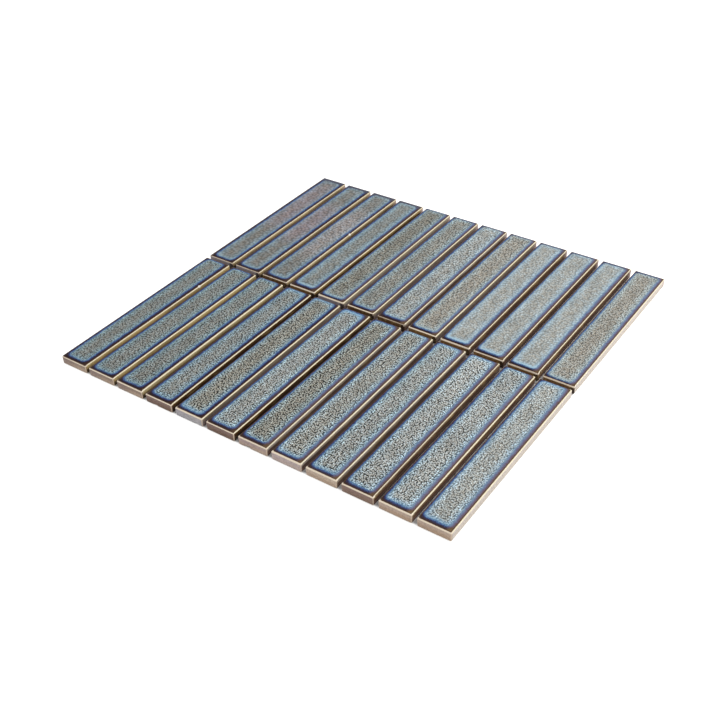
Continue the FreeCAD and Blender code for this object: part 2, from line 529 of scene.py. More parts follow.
@dataclass(frozen=True)
class GlazeFinish:
    """The reactive glaze of one tile, with its sizes in millimetres.

    A band is where one look gives way to another, from its one end to its other. Those of the field count
    outwards from the field's edge, those of the clay from the top, and the others inwards from a tile's edge.
    """

    firing: Firing
    seed: int
    is_back: bool = False
    rim: Rim = Rim()
    noise_step: Triple = (41.3, 17.9, 5.7)
    warm_grain: Colour = (1.07, 1.0, 0.93)
    cool_grain: Colour = (0.93, 1.0, 1.07)
    left_shade_tint: Colour = (0.78, 0.77, 0.96)
    field_radius: float = 2.6
    field_teal: Pair = (-6.0, -0.5)
    field_halo: Pair = (-3.6, -0.7)
    field_rim: Pair = (-0.8, 0.3)
    field_glassy: Pair = (-1.0, 1.0)
    clay_side: Pair = (-2.9, -1.2)
    clay_end: Pair = (-4.2, -1.8)
    clay_foot: Pair = (-2.7, -3.7)
    clay_dry: Pair = (-0.45, -0.75)
    clay_corner: Pair = (-2.2, -1.0)
    glow_band: Pair = (10.0, 6.0)
    back_glow_band: Pair = (9.0, 4.5)
    soot_band: Pair = (3.4, 2.2)
    slate_band: Pair = (7.0, 3.5)
    # Where the painted sheen of the rim fades in, on the right and in front.
    sheen_band: Pair = (6.0, 2.6)
    front_sheen_band: Pair = (4.0, 2.0)
    arris_band: Pair = (1.9, 1.3)
    ivory_band: Pair = (2.4, 1.4)
    open_end_band: Pair = (6.0, 2.0)
    crossing_shade_band: Pair = (4.0, 1.8)
    end_band: Pair = (1.2, 0.5)
    corner_band: Pair = (0.75, 0.4)
    left_corner_band: Pair = (0.7, 0.4)
    corner_radius: float = 0.8
    dim_reach: float = 0.35
    dim_drop: float = 0.6
    fringe: Pair = (0.75, 0.25)
    lip: Pair = (0.13, -0.13)
    drop_line: Pair = (0.09, -0.09)
    left_shade_band: Pair = (6.0, -8.0)
    pinhole: Pair = (0.75, 0.35)
    highlight_spot: Pair = (1.3, 0.9)
    crystal_relief: float = 0.03
    crystal_roughness: float = 0.28
    crystal_spread: float = 0.16
    glassy_roughness: float = 0.16
    clay_roughness: float = 0.4
    specular: float = 0.24

    def field_colour(self, graph: TileGraph, outwards: Socket) -> tuple[Socket, Socket]:
        """The crystal field: pale and dark grains on brown-grey, teal towards the flanks, with painted glints
        on a few crystals.

        Args:
            graph: The material.
            outwards: Distance outwards from the field's edge.

        Returns:
            The colour, and each crystal's own number.
        """
        pool = self.firing.tone.value
        colour = graph.mix(graph.rise(outwards, *self.field_teal), pool.middle, pool.flank)
        reflection = self.firing.reflection
        # Painted reflection: a pale tint over part of the field.
        if reflection:
            begun = graph.near(Edge.BACK, reflection.end + 14.0, reflection.end - 10.0)
            ended = graph.near(Edge.BACK, reflection.start - 10.0, reflection.start + 14.0)
            veil = graph.noise(graph.stretch(graph.spot, 1.0, 0.3, 1.0), 0.08, 1.0)
            share = graph.times(graph.times(begun, ended), graph.rise(veil, 0.3, 0.7, 0.3, 0.5))
            colour = graph.mix(share, colour, reflection.colour)
        cloud = graph.noise(graph.stretch(graph.spot, 1.0, 0.4, 1.0), 0.2, 3.0, 0.6)
        slope = graph.times(graph.y, self.firing.drift / graph.half.y)
        shade = graph.add(graph.rise(cloud, 0.3, 0.7, 0.86, 1.14), slope)
        distance, number = graph.dots(graph.spot, self.firing.fineness)
        colour = graph.mix(1.0, colour, graph.mix(number, self.warm_grain, self.cool_grain), "MULTIPLY")
        level = graph.add(graph.rise(distance, 0.25, 0.6, 1.0, -1.0), graph.line(number, 0.5, -0.25))
        # Painted highlights: small bright glints on a few crystals.
        painted_glint = graph.times(graph.rise(number, 0.9, 0.95, 0.0, 1.1), graph.rise(distance, 0.45, 0.25))
        speckle = graph.most(graph.line(graph.add(level, painted_glint), self.firing.grain, 0.985), 0.04)
        return graph.shaded(colour, graph.times(shade, speckle)), number

    def rim_colour(self, graph: TileGraph, outwards: Socket) -> Socket:
        """The thin band round the field, with a painted reflection, the rim sheen, that pales it on the
        tile's right.

        Args:
            graph: The material.
            outwards: Distance outwards from the field's edge.

        Returns:
            The colour.
        """
        dull, rim_sheen = self.firing.dull, self.firing.rim_sheen
        deep = graph.ramp(outwards, self.rim.deep)
        deep = graph.mix(graph.near(Edge.FRONT, *self.soot_band, 0.45), deep, self.rim.soot)
        if dull:
            deep = graph.mix(graph.near(Edge.BACK, *self.slate_band, dull), deep, self.rim.slate)
        if not rim_sheen:
            return deep
        # Painted reflection: the rim pales towards the right, and a little in front.
        sheen_share = graph.near(Edge.RIGHT, *self.sheen_band, rim_sheen)
        if not self.is_back:
            sheen_share = graph.most(sheen_share, graph.near(Edge.FRONT, *self.front_sheen_band, 0.18 * rim_sheen))
        return graph.mix(sheen_share, deep, graph.ramp(outwards, self.rim.deep_under_sheen))

    def arris_colour(self, graph: TileGraph) -> Socket:
        """The arris: ivory to the right and in front, partly broken glaze and partly a painted highlight;
        dark with painted shade on the other sides, paler with painted sheen.

        Args:
            graph: The material.

        Returns:
            The colour.
        """
        to_right = graph.near(Edge.RIGHT, *self.arris_band)
        to_front = graph.near(Edge.FRONT, *self.arris_band)
        # Painted shade on the arris that faces away, paled by the painted sheen; front-row tiles also get
        # sheen at the back.
        rim_sheen = self.firing.rim_sheen if self.is_back else 0.35 * self.firing.rim_sheen
        dim = graph.mix(rim_sheen, self.rim.arris_painted_shade, self.rim.arris_sheen)
        if not self.is_back:
            to_back = graph.near(Edge.BACK, *self.arris_band, 0.25 + 0.4 * self.firing.rim_sheen)
            dim = graph.mix(to_back, dim, self.rim.arris_back_sheen)
        # Painted highlight, together with the broken glaze, on the right and front arris.
        broken_and_lit = graph.mix(to_front, self.rim.arris, self.rim.cream)
        return graph.mix(graph.most(to_right, to_front), dim, broken_and_lit)

    def ivory_width(self, graph: TileGraph, dim: float, right: float, front: float) -> Socket:
        """How far the arris' colour goes past it: by one width on the right, one in front, one elsewhere."""
        width = graph.line(graph.near(Edge.RIGHT, *self.ivory_band), right - dim, dim)
        return graph.line(
            graph.near(Edge.FRONT, *self.ivory_band), graph.math("SUBTRACT", front, width), width)

    def glints(self, graph: TileGraph, strength: float) -> Socket:
        """The share of gold, in streaks where the thin glaze caught more of the fire."""
        streak = graph.noise(graph.stretch(graph.spot, 1.0, 0.16, 0.8), 0.5, 1.0)
        return graph.rise(streak, 0.48, 0.7, 0.0, strength)

    def flank_colour(self, graph: TileGraph, level: Socket) -> Socket:
        """The long sides of the tile below its arris, darker at the foot with painted shade where that is
        their foot colour, and on the back row paler towards the back end with painted light from the open
        end.

        Args:
            graph: The material.
            level: Height on the side, with the sag of the glaze.

        Returns:
            The colour.
        """
        clay = self.firing.side.value
        colour = graph.mix(graph.rise(level, *self.clay_side), clay.lower, clay.upper)
        if clay.streaks:
            streak = graph.rise(graph.noise(graph.stretch(graph.spot, 1.0, 0.14, 0.3), 0.2), 0.44, 0.62)
            colour = graph.mix(graph.times(streak, clay.streaks), colour, Side.AMBER.value.lower)
        if clay.glints:
            colour = graph.mix(self.glints(graph, clay.glints), colour, self.rim.gold)
        # Painted shade at the foot, deep in the joint, where the foot colour is the joint shade.
        if clay.foot:
            colour = graph.mix(graph.rise(graph.height, *self.clay_foot, 0.0, 0.85), colour, clay.foot)
        # Painted light: the flanks of the back row go pale towards the open back end of their joints.
        if self.is_back:
            colour = graph.mix(graph.near(Edge.BACK, *self.open_end_band, 0.6), colour, self.rim.open_end_light)
        return colour

    def end_colour(self, graph: TileGraph, level: Socket) -> Socket:
        """The front side of the tile below its arris, darker and bluer towards its left with painted shade,
        and on the back row darker at its right end with painted shade.

        Args:
            graph: The material.
            level: Height on the side, with the sag of the glaze.

        Returns:
            The colour.
        """
        clay = self.firing.end.value
        colour = graph.mix(graph.rise(level, *self.clay_end), clay.lower, clay.upper)
        # Painted shade: the front side darkens and turns bluer towards its left.
        shaded_upper = tuple(part * share for part, share in zip(clay.upper, self.left_shade_tint))
        colour = graph.mix(graph.rise(graph.x, *self.left_shade_band, 0.0, clay.left_shade), colour, shaded_upper)
        # Painted shade: on the back row the front side darkens at its right end, in the slit where the joints
        # cross.
        if self.is_back:
            colour = graph.mix(graph.near(Edge.RIGHT, *self.crossing_shade_band, 0.85), colour, JOINT_SHADE)
        if clay.glints:
            colour = graph.mix(self.glints(graph, clay.glints), colour, self.rim.gold)
        return colour

    def side_colour(self, graph: TileGraph) -> Socket:
        """All four sides of the tile below its arris, paler at the front corners, where the ivory runs down
        as glaze broken thin with a painted highlight.

        Args:
            graph: The material.

        Returns:
            The colour.
        """
        sag = graph.line(graph.noise(graph.stretch(graph.spot, 1.0, 0.5, 0.6), 0.09), 1.4, -0.7)
        level = graph.add(graph.height, sag)
        at_end = graph.near(Edge.FRONT, *self.end_band)
        colour = graph.mix(at_end, self.flank_colour(graph, level), self.end_colour(graph, level))
        colour = graph.shaded(colour, graph.rise(graph.noise(graph.spot, 0.9, 3.0), 0.3, 0.7, 0.86, 1.1))
        # Painted highlight, together with the broken glaze, down the front corners.
        front = graph.near(Edge.FRONT, *self.corner_band)
        right = graph.times(graph.near(Edge.RIGHT, *self.corner_band), front)
        left = graph.times(graph.near(Edge.LEFT, *self.left_corner_band, 0.6), front)
        corner = graph.most(right, left)
        if self.is_back:
            corner = graph.times(corner, graph.rise(graph.height, *self.clay_corner, 0.0, 0.7))
        return graph.mix(corner, colour, self.rim.corner)

    def with_pinhole_and_highlight(self, graph: TileGraph, colour: Socket) -> Socket:
        """Puts in the tile's pinhole and its painted highlight spot on the right arris, where it has them.

        Args:
            graph: The material.
            colour: The glaze's colour.

        Returns:
            The colour with its pinhole and its painted highlight.
        """
        if self.firing.pinhole:
            hole = graph.vector("SUBTRACT", graph.place, (*self.firing.pinhole, 0.0))
            reach = graph.vector("LENGTH", graph.stretch(hole, 1.0, 1.0, 0.0))
            colour = graph.mix(graph.rise(reach, *self.pinhole), colour, self.rim.pit)
        # Painted highlight: a small white glint on the right arris.
        if self.firing.highlight_spot is not None:
            highlight_spot = (graph.half.x - 0.2, self.firing.highlight_spot, -0.5)
            reach = graph.vector("LENGTH", graph.vector("SUBTRACT", graph.place, highlight_spot))
            colour = graph.mix(graph.rise(reach, *self.highlight_spot), colour, self.rim.highlight_white)
        return colour

    def roughness(self, graph: TileGraph, outwards: Socket, grain: Socket) -> Socket:
        """Uneven over the crystals, glassy on the rim and dry on the sides.

        Args:
            graph: The material.
            outwards: Distance outwards from the field's edge.
            grain: Each crystal's own number.

        Returns:
            The roughness.
        """
        glassy = graph.rise(outwards, *self.field_glassy)
        rough = graph.line(grain, self.crystal_spread, self.crystal_roughness)
        rough = graph.times(rough, graph.math("SUBTRACT", 1.0, glassy))
        rough = graph.add(rough, graph.times(glassy, self.glassy_roughness))
        return graph.add(rough, graph.rise(graph.height, *self.clay_dry, 0.0, self.clay_roughness))

    def material(self, name: str, low: Vector, high: Vector) -> Material:
        """Makes the glaze for a tile that fills a box.

        Args:
            name: The material's name.
            low: The box's lowest corner, in metres.
            high: Its highest corner.

        Returns:
            The material.
        """
        graph = TileGraph(name, low, high, tuple(self.seed * step for step in self.noise_step))
        firing, half, inset = self.firing, graph.half, self.firing.inset
        middle = Vector(((inset.left - inset.right) / 2.0, (inset.front - inset.back) / 2.0, 0.0))
        reach = Vector((
            half.x - (inset.left + inset.right) / 2.0, half.y - (inset.front + inset.back) / 2.0, 0.0))
        waves = graph.line(graph.noise(graph.spot, 0.22), 1.2, -0.6)
        ragged = graph.line(graph.cells(graph.spot, 1.9), 0.9, -0.45)
        outwards = graph.add(graph.add(graph.outside(middle, reach, self.field_radius), waves), ragged)
        edge = graph.times(graph.outside(Vector(), half, self.corner_radius), -1.0)
        edge = graph.add(edge, graph.line(graph.noise(graph.spot, 0.7), 0.3, -0.15))

        colour, grain = self.field_colour(graph, outwards)
        glow = graph.near(Edge.FRONT, *self.glow_band, firing.glow, 0.3 * firing.glow)
        glow = graph.add(glow, graph.near(Edge.BACK, *self.back_glow_band, firing.back_glow))
        halo = graph.times(graph.rise(outwards, *self.field_halo), glow)
        colour = graph.mix(halo, colour, self.rim.azure if self.is_back else self.rim.azure_deep)
        colour = graph.mix(graph.rise(outwards, *self.field_rim), colour, self.rim_colour(graph, outwards))

        ivory = firing.ivory
        past_lip = graph.math("SUBTRACT", edge, self.ivory_width(
            graph, self.dim_reach, ivory.reach_right, ivory.reach_front))
        colour = graph.mix(graph.rise(past_lip, *self.fringe), colour, self.rim.fringe)
        colour = graph.mix(graph.rise(past_lip, *self.lip), colour, self.arris_colour(graph))
        below = graph.add(graph.height, self.ivory_width(
            graph, self.dim_drop, ivory.drop_right, ivory.drop_front))
        colour = graph.mix(graph.rise(below, *self.drop_line), colour, self.side_colour(graph))

        graph.bump(graph.times(grain, graph.rise(outwards, 1.0, -1.0)), self.crystal_relief * MM)
        colour = self.with_pinhole_and_highlight(graph, colour)
        return graph.finish(colour, self.roughness(graph, outwards, grain), self.specular)


@dataclass(frozen=True)
class BiscuitFinish:
    """The unglazed back of the tiles."""

    pale: Colour = tint(214, 196, 172)
    dusty: Colour = tint(186, 164, 138)
    speck: Colour = tint(96, 74, 56)
    relief: float = 0.06
    specular: float = 0.3

    def material(self) -> Material:
        """Makes the fired clay.

        Returns:
            The material.
        """
        graph = Graph("fired_biscuit")
        place = graph.millimetres()
        cloud = graph.noise(place, 0.35, 4.0, 0.65)
        grit = graph.cells(place, 4.0)
        colour = graph.mix(graph.rise(cloud, 0.35, 0.65), self.pale, self.dusty)
        colour = graph.mix(graph.rise(grit, 0.93, 0.98, 0.0, 0.5), colour, self.speck)
        graph.bump(graph.add(cloud, graph.times(grit, 0.3)), self.relief * MM)
        return graph.finish(colour, graph.rise(cloud, 0.3, 0.7, 0.72, 0.88), self.specular)


@dataclass(frozen=True)
class GlassFinish:
    """Coated glass roving."""

    glass: Colour = tint(232, 234, 228)
    coat: Colour = tint(204, 206, 196)
    relief: float = 0.05
    specular: float = 0.4

    def material(self) -> Material:
        """Makes the roving, with filaments along each strand.

        Returns:
            The material.
        """
        graph = Graph("coated_glass_roving")
        place = graph.millimetres()
        warps = graph.noise(graph.stretch(place, 9.0, 0.35, 3.0), 1.0)
        wefts = graph.noise(graph.stretch(place, 0.35, 9.0, 3.0), 1.0)
        is_weft = graph.rise(graph.split(place)[2], 0.22, 0.28)
        threads = graph.times(warps, graph.math("SUBTRACT", 1.0, is_weft))
        threads = graph.add(graph.times(wefts, is_weft), threads)
        colour = graph.mix(graph.rise(threads, 0.35, 0.65), self.coat, self.glass)
        graph.bump(threads, self.relief * MM)
        return graph.finish(colour, graph.rise(threads, 0.3, 0.7, 0.42, 0.6), self.specular)


class Shell:
    """The points and faces of a body while it is built."""

    def __init__(self) -> None:
        """Starts it empty."""
        self.points: list[Triple] = []
        self.faces: list[tuple[int, ...]] = []

    def add(self, points: list[Triple]) -> list[int]:
        """Adds points, and gives their numbers."""
        self.points += points
        return list(range(len(self.points) - len(points), len(self.points)))

    def add_grid(self, points: list[Triple], columns: int, faces_up: bool) -> None:
        """Adds a grid of points with its faces.

        Args:
            points: The points, row by row.
            columns: How many faces a row has.
            faces_up: Whether the grid is seen from above.
        """
        row = columns + 1
        for a in self.add(points)[:-row]:
            if (a + row - len(self.points)) % row < columns:
                face = (a, a + 1, a + row + 1, a + row)
                self.faces.append(face if faces_up else (face[0], face[3], face[2], face[1]))

    def bridge(self, upper: list[int], lower: list[int]) -> None:
        """Closes the strip between two rings.

        Args:
            upper: Numbers of the upper ring.
            lower: Numbers of the lower ring.
        """
        for k in range(len(upper)):
            n = (k + 1) % len(upper)
            face = tuple(dict.fromkeys((upper[k], lower[k], lower[n], upper[n])))
            if len(face) > 2:
                self.faces.append(face)

    def piece(self, name: str, crease: float, *materials: Material) -> bpy.types.Object:
        """Makes the piece, whose points have to be in metres by now, and puts it in the scene.

        Args:
            name: Its name.
            crease: The angle from which its edges stay sharp, in degrees.
            materials: Its materials.

        Returns:
            The piece.
        """
        mesh = bpy.data.meshes.new(name)
        mesh.from_pydata(self.points, [], self.faces)
        mesh.update()
        mesh.shade_smooth()
        mesh.set_sharp_from_angle(angle=math.radians(crease))
        for material in materials:
            mesh.materials.append(material)
        piece = bpy.data.objects.new(name, mesh)
        bpy.context.scene.collection.objects.link(piece)
        return piece


@dataclass(frozen=True)
class Chip:
    """A small break in the front lower edge of a tile, in millimetres from the tile's middle."""

    across: float
    width: float
    height: float
    depth: float


@dataclass
class Tile:
    """One pressed and glazed stick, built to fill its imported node's box, in millimetres."""

    node: str
    finish: GlazeFinish
    biscuit: Material
    chips: tuple[Chip, ...] = ()
    arris: float = 0.7
    arris_steps: int = 6
    corner: float = 0.8
    corner_steps: int = 4
    shoulder: float = 0.16
    shoulder_start: float = 0.2
    shoulder_reach: float = 3.2
    shoulder_rings: tuple[float, ...] = (1.9, 1.25)
    sink: float = 0.035
    ripple: float = 0.034
    long_ripple: Pair = (0.03, 9.0)
    short_ripple: Pair = (0.012, 2.6)
    dent: float = 0.03
    long_dent: Pair = (0.03, 11.0)
    short_dent: Pair = (0.02, 3.0)
    inner_radius: float = 0.1
    least_radius: float = 0.08
    face_inset: float = 2.6
    back_inset: float = 0.9
    draft: float = math.radians(1.5)
    side_shares: tuple[float, ...] = (0.2, 0.45, 0.7, 1.0)
    side_band: float = 1.5
    foot: float = 0.3
    foot_shares: tuple[Pair, ...] = ((0.3, 0.25), (0.9, 0.0))
    groove_places: tuple[float, ...] = (-6.0, 0.0, 6.0)
    groove_half: float = 1.2
    groove_slope: float = 0.25
    groove_depth: float = 0.4
    groove_margin: float = 8.0
    back_lands: tuple[float, ...] = (-9.0, 9.0, -3.0, 3.0)
    across_steps: int = 17
    along_steps: int = 84
    crease: float = 38.0

    def __post_init__(self) -> None:
        """Reads the node's box."""
        self.low, self.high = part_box(self.node)
        self.middle = (self.low + self.high) / 2.0
        self.half = (self.high - self.low) / 2.0 / MM
        self.offset = Vector((self.finish.seed * 7.3, self.finish.seed * 3.1, 0.0))

    def wave(self, x: float, y: float, size: Pair, salt: float) -> float:
        """Smooth unevenness by its height and length, with a salt that tells one use from another."""
        return size[0] * noise.noise((Vector((x, y, salt)) + self.offset) / size[1])

    def face_height(self, x: float, y: float) -> float:
        """Height of the glazed face, 0 being the top of the box.

        Args:
            x: Place across from the middle.
            y: Place along from the middle.

        Returns:
            The height, 0 or less.
        """
        inside = min(self.half.x - abs(x), self.half.y - abs(y))
        fall = self.shoulder * (1.0 - smooth_step(self.shoulder_start, self.shoulder_reach, inside))
        ripple = self.wave(x, y, self.long_ripple, 1.0) + self.wave(x, y, self.short_ripple, 2.0)
        return -fall - self.sink + max(-self.ripple, min(self.ripple, ripple))

    def grid_lines(self, half: float, steps: int) -> list[float]:
        """Evenly spaced lines from -half to half."""
        return [half * (2.0 * step / steps - 1.0) for step in range(steps + 1)]

    def back_lines(self, half: float) -> list[float]:
        """Lines across the back, from -half to half, with four to each groove.

        Args:
            half: Where the last line lies.

        Returns:
            The lines' places.
        """
        lines = [-half, half, *self.back_lands]
        for place in self.groove_places:
            for offset in (self.groove_half, self.groove_half - self.groove_slope):
                lines += [place - offset, place + offset]
        return sorted(lines)

    def back_points(self) -> list[Triple]:
        """The points of the back, row by row, with the grooves ending short of the tile's ends.

        Returns:
            The points.
        """
        back = -self.half.z * 2.0
        groove_end = self.half.y - self.groove_margin
        points = []
        for y in self.grid_lines(self.half.y - self.back_inset, self.along_steps):
            for x in self.back_lines(self.half.x - self.back_inset):
                in_groove = any(abs(x - place) < self.groove_half - 0.1 for place in self.groove_places)
                points.append((x, y, back + self.groove_depth * (in_groove and abs(y) < groove_end)))
        return points

    def ring(self, inset: float, radius: float) -> list[tuple[float, float]]:
        """Points round the tile, the same number for any inset.

        Args:
            inset: How far the ring lies inside the outline.
            radius: Radius of its corners.

        Returns:
            The points, from the front left corner round to the right.
        """
        hx, hy = self.half.x - inset, self.half.y - inset
        xs = self.grid_lines(hx - radius, self.across_steps)
        ys = self.grid_lines(hy - radius, self.along_steps)
        sides = (
            ([(x, -hy) for x in xs], (hx - radius, -hy + radius), -math.pi / 2.0),
            ([(hx, y) for y in ys], (hx - radius, hy - radius), 0.0),
            ([(-x, hy) for x in xs], (-hx + radius, hy - radius), math.pi / 2.0),
            ([(-hx, -y) for y in ys], (-hx + radius, -hy + radius), math.pi),
        )
        points = []
        for side, (cx, cy), start in sides:
            points += side
            for step in range(1, self.corner_steps):
                angle = start + math.pi / 2.0 * step / self.corner_steps
                points.append((cx + radius * math.cos(angle), cy + radius * math.sin(angle)))
        return points

    def border(self, first: int) -> list[int]:
        """The numbers of a grid's border points, in the order of the rings.

        Args:
            first: The number of the grid's first point.

        Returns:
            One number to each point of a ring, with a corner's number repeated along its arc.
        """
        nx, row = self.across_steps, self.across_steps + 1
        last = first + self.along_steps * row
        sides = (
            list(range(first, first + row)),
            list(range(first + nx, last + row, row)),
            list(range(last + nx, last - 1, -1)),
            list(range(last, first - 1, -row)),
        )
        numbers = []
        for side in sides:
            numbers += side + [side[-1]] * (self.corner_steps - 1)
        return numbers

    def profile(self) -> list[tuple[float, float]]:
        """The side of the tile as inset and height, from the face down to the foot.

        Returns:
            Pairs of inset and height below the top.
        """
        top = -self.shoulder - self.sink
        rows = []
        for step in range(self.arris_steps + 1):
            angle = math.pi / 2.0 * step / self.arris_steps
            rows.append((self.arris * (1.0 - math.sin(angle)), top - self.arris * (1.0 - math.cos(angle))))
        side_top = rows[-1][1]
        bottom = -self.half.z * 2.0
        for share in self.side_shares:
            height = side_top + (bottom + self.foot - side_top) * share
            rows.append((-height * math.tan(self.draft), height))
        foot_inset = rows[-1][0]
        for across, up in self.foot_shares:
            rows.append((foot_inset + self.foot * across, bottom + self.foot * up))
        return rows

    def side_point(self, x: float, y: float, inset: float, height: float) -> Triple:
        """Moves a point of the tile's side by its unevenness and its chips.

        Args:
            x: Place across.
            y: Place along.
            inset: The ring's inset.
            height: The ring's height below the top.

        Returns:
            The point.
        """
        dent = self.dent + self.wave(x, y, self.long_dent, 3.0)
        dent += self.wave(x, y, self.short_dent, 4.0 + height)
        dent = max(0.0, dent) * smooth_step(2.4, 0.8, inset)
        x -= math.copysign(dent, x) if abs(x) > self.half.x - self.side_band else 0.0
        y -= math.copysign(dent, y) if abs(y) > self.half.y - self.side_band else 0.0
        bottom = -self.half.z * 2.0
        for chip in self.chips:
            reach = smooth_step(chip.width, chip.width * 0.4, abs(x - chip.across))
            reach *= smooth_step(chip.height, chip.height * 0.3, height - bottom) * (y < 1.0 - self.half.y)
            y += chip.depth * reach
        return x, y, height

    def build(self) -> bpy.types.Object:
        """Builds the closed body, from the face over arris, sides and foot to the grooved back, for its node.

        Returns:
            The tile.
        """
        nx, ny = self.across_steps, self.along_steps
        shell = Shell()
        xs = self.grid_lines(self.half.x - self.face_inset, nx)
        ys = self.grid_lines(self.half.y - self.face_inset, ny)
        shell.add_grid([(x, y, self.face_height(x, y)) for y in ys for x in xs], nx, True)
        rings = [self.border(0)]
        for inset in self.shoulder_rings:
            outline = self.ring(inset, self.inner_radius)
            rings.append(shell.add([(x, y, self.face_height(x, y)) for x, y in outline]))
        for inset, height in self.profile():
            outline = self.ring(inset, max(self.corner - inset, self.least_radius))
            rings.append(shell.add([self.side_point(x, y, inset, height) for x, y in outline]))
        rings.append(self.border(len(shell.points)))
        shell.add_grid(self.back_points(), nx, False)
        for upper, lower in zip(rings, rings[1:]):
            shell.bridge(upper, lower)
        shell.points = [
            (self.middle.x + x * MM, self.middle.y + y * MM, self.high.z + z * MM) for x, y, z in shell.points
        ]

        glaze = self.finish.material(self.node + "_glaze", self.low, self.high)
        piece = shell.piece(self.node + "_glazed", self.crease, glaze, self.biscuit)
        grid, strip = nx * ny, len(rings[-1])
        glazed_strips = len(shell.faces) - 2 * grid - strip
        slots = [0] * grid + [1] * grid + [0] * glazed_strips + [1] * strip
        piece.data.polygons.foreach_set("material_index", slots)
        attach(piece, "root")
        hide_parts(self.node)
        return piece


@dataclass
class BackingMesh:
    """The laid glass mesh under the tiles, as strands with soft edges, in millimetres."""

    nodes: tuple[str, ...] = ("backing_mesh_left", "backing_mesh_middle", "backing_mesh_right")
    pitch: float = 12.5
    strand_width: float = 1.0
    strand_thickness: float = 0.25
    warp_count: int = 24
    weft_count: int = 23
    steps: int = 4
    swell_length: float = 5.0
    crease: float = 50.0
    outline: tuple[Pair, ...] = (
        (0.0, 0.55), (0.12, 0.86), (0.42, 1.0), (1.0, 1.0), (1.58, 1.0), (1.88, 0.86),
        (2.0, 0.55), (1.9, 0.12), (1.55, 0.0), (1.0, 0.0), (0.45, 0.0), (0.1, 0.12),
    )

    def section(self, along: float, salt: float) -> list[tuple[float, float]]:
        """A strand's outline at one place: flat below and above, round at its sides.

        Args:
            along: Place along the strand.
            salt: Tells one strand from another.

        Returns:
            Points as offset across and height.
        """
        swell = 0.94 + 0.06 * noise.noise(Vector((along / self.swell_length, salt, 0.0)))
        half = self.strand_width / 2.0 * swell
        return [((x - 1.0) * half, z * self.strand_thickness) for x, z in self.outline]

    def add_strand(self, shell: Shell, start: Vector, end: Vector) -> None:
        """Adds one closed strand.

        Args:
            shell: The band so far.
            start: The strand's start, at its underside.
            end: Its end.
        """
        length = (end - start).length
        direction = (end - start) / length
        across = Vector((-direction.y, direction.x, 0.0))
        count = max(2, round(length / self.pitch * self.steps))
        salt = start.x * 0.37 + start.y * 0.11
        sides = len(self.outline)
        rings = []
        for step in range(count + 1):
            along = length * step / count
            middle = start + direction * along
            outline = self.section(along, salt)
            rings.append(shell.add([middle + across * x + Vector((0.0, 0.0, z)) for x, z in outline]))
        for ring in rings[:-1]:
            for side in range(sides):
                a, b = ring[side], ring[(side + 1) % sides]
                shell.faces.append((a, b, b + sides, a + sides))
        shell.faces.append(tuple(reversed(rings[0])))
        shell.faces.append(tuple(rings[-1]))

    def lines(self, count: int) -> list[float]:
        """The places of so many strands, evenly about the middle of the sheet."""
        return [(k - (count - 1) / 2.0) * self.pitch for k in range(count)]

    def build(self) -> list[bpy.types.Object]:
        """Makes a dressed band for each node.

        Returns:
            The bands.
        """
        material = GlassFinish().material()
        pieces = []
        for node in self.nodes:
            low, high = (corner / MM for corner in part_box(node))
            shell = Shell()
            for x in self.lines(self.warp_count):
                if low.x < x < high.x:
                    self.add_strand(shell, Vector((x, low.y, 0.0)), Vector((x, high.y, 0.0)))
            z = self.strand_thickness
            for y in self.lines(self.weft_count):
                self.add_strand(shell, Vector((low.x, y, z)), Vector((high.x, y, z)))
            shell.points = [tuple(point * MM) for point in shell.points]
            piece = shell.piece(node + "_strands", self.crease, material)
            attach(piece, "root")
            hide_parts(node)
            pieces.append(piece)
        return pieces


@dataclass
class TileRow:
    """A row of tiles, from the left."""

    name: str
    firings: tuple[Firing, ...]
    first_seed: int
    is_back: bool = False
    chips: dict[int, tuple[Chip, ...]] = field(default_factory=dict)

    def build(self, biscuit: Material) -> list[Tile]:
        """Plans and builds the row.

        Args:
            biscuit: The finish of the backs.

        Returns:
            The tiles.
        """
        tiles = []
        for column, firing in enumerate(self.firings, start=1):
            finish = GlazeFinish(firing, self.first_seed + column, self.is_back)
            tile = Tile(f"tile_{self.name}_{column:02d}", finish, biscuit, self.chips.get(column, ()))
            tile.build()
            tiles.append(tile)
        return tiles


